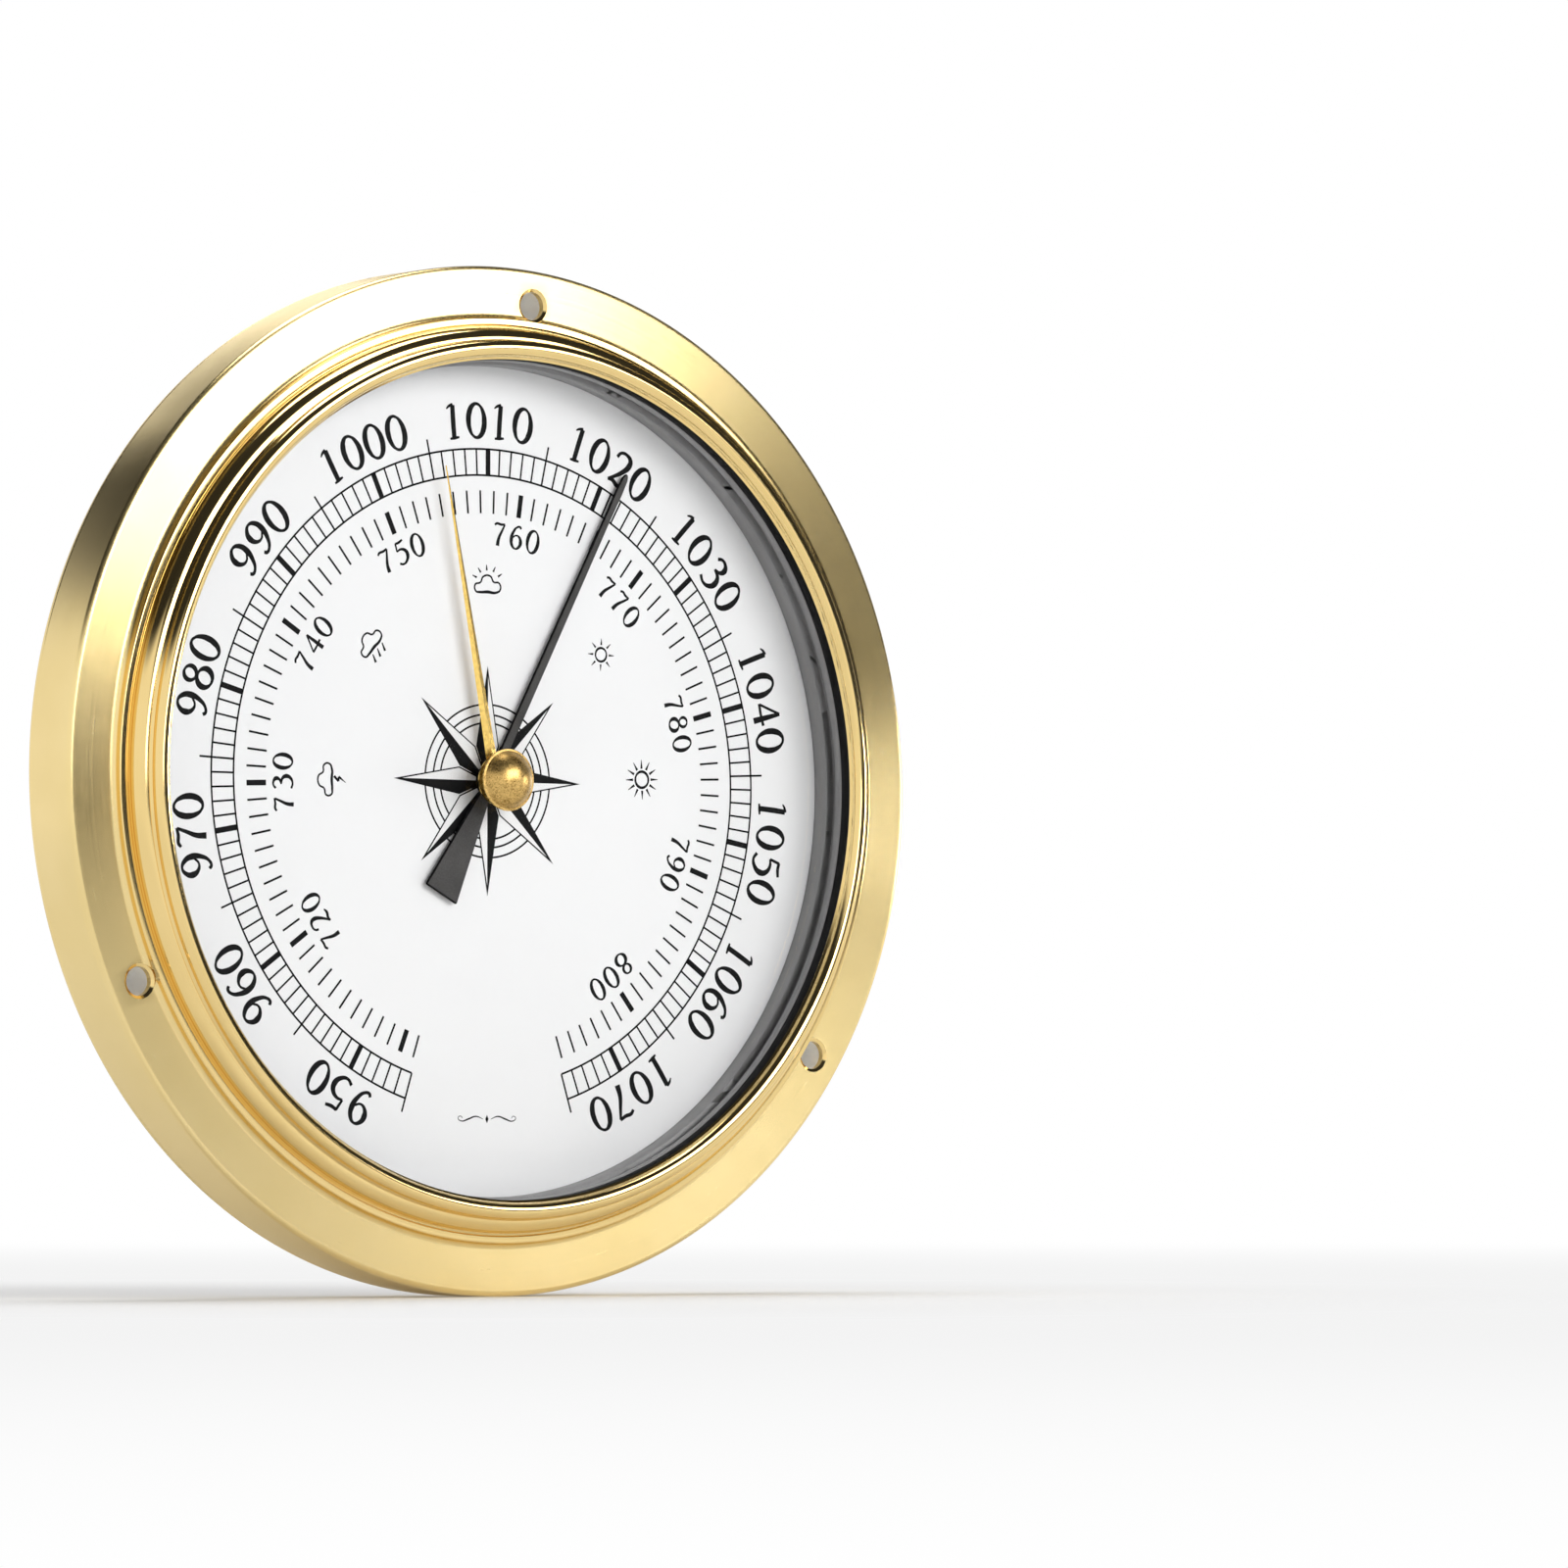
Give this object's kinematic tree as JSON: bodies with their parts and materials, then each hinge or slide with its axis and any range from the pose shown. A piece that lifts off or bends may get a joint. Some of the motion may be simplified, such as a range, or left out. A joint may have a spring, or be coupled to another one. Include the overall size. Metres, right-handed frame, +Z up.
{
  "type": "marine barometer",
  "caption": "Round brass-cased aneroid barometer with a moulded bezel, glazed dial, set hand with a centre knob, and a black rear drum on a flange for panel screws.",
  "frame": {"origin": "centre of the screw circle, on the rear face of the flange", "axes": "+Z up with 1010 hPa at the top of the dial, -Y out of the dial towards the reader, +Y into the panel, +X to the reader's right"},
  "size_m": [0.145, 0.0277, 0.145],
  "materials": {
    "polished_brass": "polished and lacquered",
    "gilt_brass": "polished",
    "movement_brass": "satin",
    "steel": "bright",
    "capsule_metal": "satin, corrugated",
    "black_hand": "satin black",
    "black_plate": "semi-gloss black",
    "black_drum": "semi-gloss black",
    "grained_cover": "fine pale and dark grain",
    "grey_ring": "matt grey",
    "white_dial": "printed white",
    "clear_glass": "clear",
    "black_rubber": "matt",
    "pale_nylon": "matt"
  },
  "bodies": {
    "case": {"front_bezel": "polished_brass", "rear_ring": "polished_brass", "case_ring": "polished_brass", "glass_bush": "gilt_brass", "hairspring_stud": "movement_brass", "front_plate": "movement_brass", "base_plate": "movement_brass", "bridge": "movement_brass", "plate_pillars": "movement_brass", "bridge_pillars": "movement_brass", "shaft_brackets": "movement_brass", "friction_washer": "steel", "carrier_clips": "steel", "carrier_screws": "steel", "base_screws": "steel", "capsule_rear": "capsule_metal", "capsule_front": "capsule_metal", "carrier_plate": "black_plate", "movement_drum": "black_drum", "back_cover": "grained_cover", "glass_retainer": "grey_ring", "dial_surround": "grey_ring", "dial": "white_dial", "glass": "clear_glass", "glass_gasket": "black_rubber", "screw_ferrules": "pale_nylon"},
    "set_hand": {"set_knob": "gilt_brass", "set_arbor": "gilt_brass", "set_pointer": "gilt_brass"},
    "pointer": {"indicator_pointer": "black_hand", "pointer_bush": "movement_brass", "pointer_arbor": "steel", "pinion": "movement_brass", "hairspring_collet": "movement_brass", "hairspring": "steel"},
    "sector": {"sector_gear": "movement_brass", "sector_arbor": "steel"},
    "rocker": {"rocking_shaft": "steel", "rocker_arm": "movement_brass", "rocker_crank": "movement_brass"},
    "link": {"link_rod": "steel"},
    "capsule_head": {"capsule_spring": "steel", "capsule_stud": "movement_brass"},
    "adjuster": {"adjusting_screw": "steel"}
  },
  "joints": [
    {"name": "pointer_turn", "type": "hinge", "parent": "case", "child": "pointer", "pos_m": [0, -0.0047, 0], "axis": [0, 1, 0], "range_deg": [-190.7, 134.3], "stiffness_Nm_per_rad": 0.0003, "deforming": ["hairspring"]},
    {"name": "sector_swing", "type": "hinge", "parent": "case", "child": "sector", "pos_m": [-0.0162, -0.0027, 0], "axis": [0, 1, 0], "range_deg": [-10.8, 15.3]},
    {"name": "rocker_turn", "type": "hinge", "parent": "case", "child": "rocker", "pos_m": [0, 0.0011, 0.004], "axis": [1, 0, 0], "range_deg": [-15.3, 10.8]},
    {"name": "link_turn", "type": "hinge", "parent": "rocker", "child": "link", "pos_m": [-0.0214, -0.00375, 0.004], "axis": [1, 0, 0], "range_deg": [-10.8, 15.3]},
    {"name": "capsule_travel", "type": "slide", "parent": "case", "child": "capsule_head", "axis": [0, -1, 0], "range_m": [-0.00076, 0.00108], "deforming": ["capsule_front", "capsule_spring"]},
    {"name": "set_hand_turn", "type": "hinge", "parent": "case", "child": "set_hand", "pos_m": [0, -0.0112, 0], "axis": [0, 1, 0], "continuous": true},
    {"name": "adjuster_turn", "type": "hinge", "parent": "case", "child": "adjuster", "pos_m": [0, 0.0085, 0], "axis": [0, 1, 0], "range_deg": [-360, 360]}
  ],
  "couplings": [
    {"joint": "sector_swing", "follows": "pointer_turn", "ratio": -0.08},
    {"joint": "rocker_turn", "follows": "pointer_turn", "ratio": 0.08},
    {"joint": "link_turn", "follows": "pointer_turn", "ratio": -0.08},
    {"joint": "capsule_travel", "follows": "pointer_turn", "m_per_rad": -0.00032}
  ]
}
